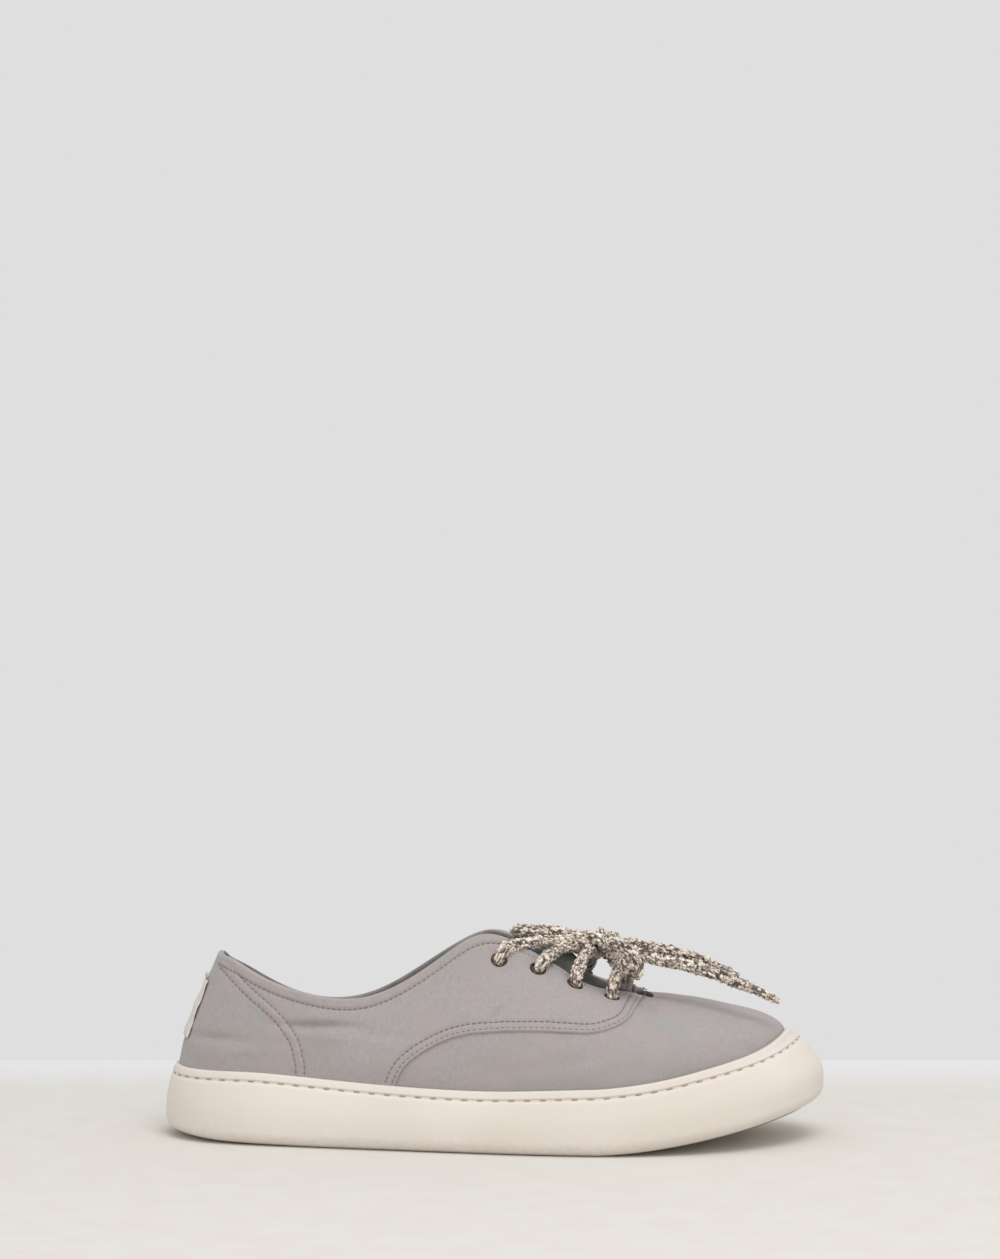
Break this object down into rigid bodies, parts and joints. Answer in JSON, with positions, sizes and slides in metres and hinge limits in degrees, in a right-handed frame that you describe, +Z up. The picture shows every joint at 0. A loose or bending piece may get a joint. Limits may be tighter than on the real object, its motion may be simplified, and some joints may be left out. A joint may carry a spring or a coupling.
{
  "type": "low lace-up shoe",
  "caption": "Low canvas lace-up shoe on a rounded stitched rubber cup sole with a wide toe and a flat tread, laced through metal eyelets.",
  "frame": {"origin": "on the floor, under the middle of the sole's outline", "axes": "+X towards the toe, -Y towards the outer side of the foot, +Z up from the floor"},
  "size_m": [0.2636, 0.1, 0.0847],
  "materials": {
    "cream_rubber": "smooth matt cream rubber",
    "grey_canvas": "plain woven mid grey canvas",
    "insole_foam": "cloth-covered foam",
    "woven_tape": "bare woven cream tape",
    "bronze": "dark bronze",
    "marled_lace": "round braided lace, black and cream"
  },
  "bodies": {
    "root": {"outsole": "cream_rubber", "insole": "insole_foam", "upper": "grey_canvas", "tongue": "grey_canvas", "heel_label": "woven_tape", "lace_strands": "marled_lace", "eyelet_outer_1": "bronze", "eyelet_outer_2": "bronze", "eyelet_outer_3": "bronze", "eyelet_outer_4": "bronze", "eyelet_inner_1": "bronze", "eyelet_inner_2": "bronze", "eyelet_inner_3": "bronze", "eyelet_inner_4": "bronze", "lace_knot": "marled_lace", "lace_loop_back": "marled_lace", "lace_loop_near": "marled_lace", "lace_end_long": "marled_lace", "lace_end_short": "marled_lace"}
  },
  "joints": []
}
